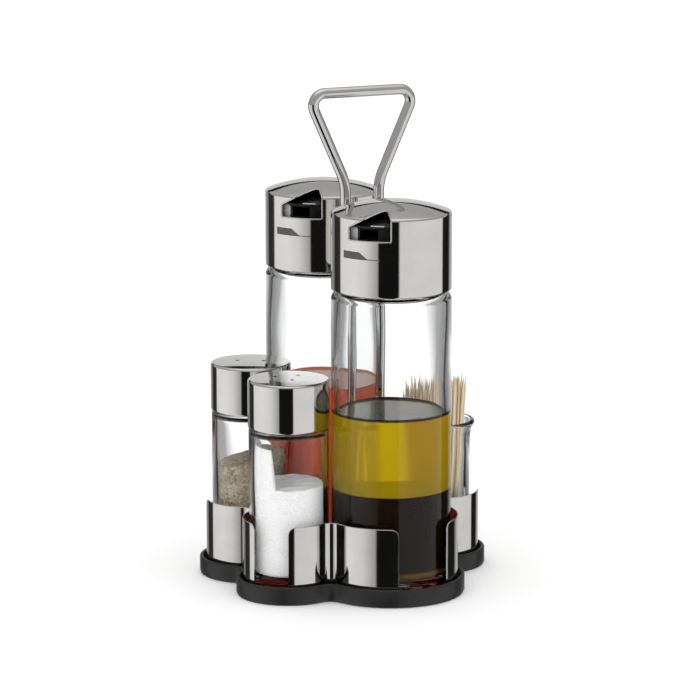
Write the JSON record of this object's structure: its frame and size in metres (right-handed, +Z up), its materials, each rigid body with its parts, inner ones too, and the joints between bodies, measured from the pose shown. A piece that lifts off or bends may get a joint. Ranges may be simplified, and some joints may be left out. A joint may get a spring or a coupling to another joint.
{
  "type": "cruet set",
  "caption": "Lobed tray with a steel fence and wire handle that carries two tall pouring cruets, two shakers and an open toothpick jar, each of which lifts out.",
  "frame": {"origin": "middle of the tray's underside, on the surface that the set stands on", "axes": "+X from the shakers to the toothpick jar, +Y from the oil cruet to the vinegar cruet, +Z up"},
  "size_m": [0.1336, 0.1412, 0.2295],
  "materials": {
    "tray_plastic": "black, satin moulded",
    "fence_steel": "mirror-polished stainless sheet",
    "handle_steel": "polished stainless wire",
    "fixing_steel": "plain zinc-plated",
    "cap_steel": "mirror-polished deep-drawn stainless",
    "clear_glass": "clear, polished, slightly wavy inside",
    "oil_liquid": "clear golden-olive liquid",
    "balsamic_liquid": "nearly black liquid",
    "red_liquid": "clear reddish-brown liquid",
    "pourer_plastic": "black moulded, fine satin",
    "shutter_plastic": "light grey moulded",
    "liner_plastic": "black moulded",
    "seal_silicone": "translucent white silicone",
    "salt_grains": "fine white crystals",
    "pepper_grains": "ground grey-beige pepper",
    "pick_wood": "pale birch, lightly sanded"
  },
  "bodies": {
    "stand": {"tray": "tray_plastic", "fence_front_left": "fence_steel", "fence_left": "fence_steel", "fence_back_left": "fence_steel", "fence_back_right": "fence_steel", "fence_front_right": "fence_steel", "handle": "handle_steel", "handle_washers": "fixing_steel", "handle_nuts": "fixing_steel"},
    "oil_cruet": {"oil_bottle_glass": "clear_glass", "olive_oil": "oil_liquid", "balsamic_vinegar": "balsamic_liquid"},
    "oil_stopper": {"oil_pourer": "pourer_plastic", "oil_spout_shutter": "shutter_plastic", "oil_plug_seal": "seal_silicone"},
    "oil_cap": {"oil_cap_shell": "cap_steel", "oil_cap_liner": "liner_plastic"},
    "vinegar_cruet": {"vinegar_bottle_glass": "clear_glass", "red_vinegar": "red_liquid"},
    "vinegar_stopper": {"vinegar_pourer": "pourer_plastic", "vinegar_spout_shutter": "shutter_plastic", "vinegar_plug_seal": "seal_silicone"},
    "vinegar_cap": {"vinegar_cap_shell": "cap_steel", "vinegar_cap_liner": "liner_plastic"},
    "salt_shaker": {"salt_jar_glass": "clear_glass", "salt": "salt_grains"},
    "salt_cap": {"salt_mouth_seal": "seal_silicone", "salt_cap_shell": "cap_steel", "salt_cap_liner": "liner_plastic"},
    "pepper_shaker": {"pepper_jar_glass": "clear_glass", "ground_pepper": "pepper_grains"},
    "pepper_cap": {"pepper_mouth_seal": "seal_silicone", "pepper_cap_shell": "cap_steel", "pepper_cap_liner": "liner_plastic"},
    "toothpick_jar": {"toothpick_jar_glass": "clear_glass"},
    "toothpick_bundle": {"toothpicks": "pick_wood"}
  },
  "joints": [
    {"name": "oil_cruet_lift", "type": "slide", "parent": "stand", "child": "oil_cruet", "axis": [0, 0, 1], "range_m": [0, 0.1]},
    {"name": "oil_stopper_pull", "type": "slide", "parent": "oil_cruet", "child": "oil_stopper", "axis": [0, 0, 1], "range_m": [0, 0.03]},
    {"name": "oil_cap_turn", "type": "hinge", "parent": "oil_stopper", "child": "oil_cap", "pos_m": [0.0022, -0.0365, 0.16], "axis": [0, 0, -1], "range_deg": [0, 45]},
    {"name": "vinegar_cruet_lift", "type": "slide", "parent": "stand", "child": "vinegar_cruet", "axis": [0, 0, 1], "range_m": [0, 0.1]},
    {"name": "vinegar_stopper_pull", "type": "slide", "parent": "vinegar_cruet", "child": "vinegar_stopper", "axis": [0, 0, 1], "range_m": [0, 0.03]},
    {"name": "vinegar_cap_turn", "type": "hinge", "parent": "vinegar_stopper", "child": "vinegar_cap", "pos_m": [0.0022, 0.0365, 0.16], "axis": [0, 0, -1], "range_deg": [0, 45]},
    {"name": "salt_shaker_lift", "type": "slide", "parent": "stand", "child": "salt_shaker", "axis": [0, 0, 1], "range_m": [0, 0.06]},
    {"name": "salt_cap_lift", "type": "slide", "parent": "salt_shaker", "child": "salt_cap", "axis": [0, 0, 1], "range_m": [0, 0.025]},
    {"name": "pepper_shaker_lift", "type": "slide", "parent": "stand", "child": "pepper_shaker", "axis": [0, 0, 1], "range_m": [0, 0.06]},
    {"name": "pepper_cap_lift", "type": "slide", "parent": "pepper_shaker", "child": "pepper_cap", "axis": [0, 0, 1], "range_m": [0, 0.025]},
    {"name": "toothpick_jar_lift", "type": "slide", "parent": "stand", "child": "toothpick_jar", "axis": [0, 0, 1], "range_m": [0, 0.045]},
    {"name": "toothpicks_lift", "type": "slide", "parent": "toothpick_jar", "child": "toothpick_bundle", "axis": [0, 0, 1], "range_m": [0, 0.06]}
  ]
}
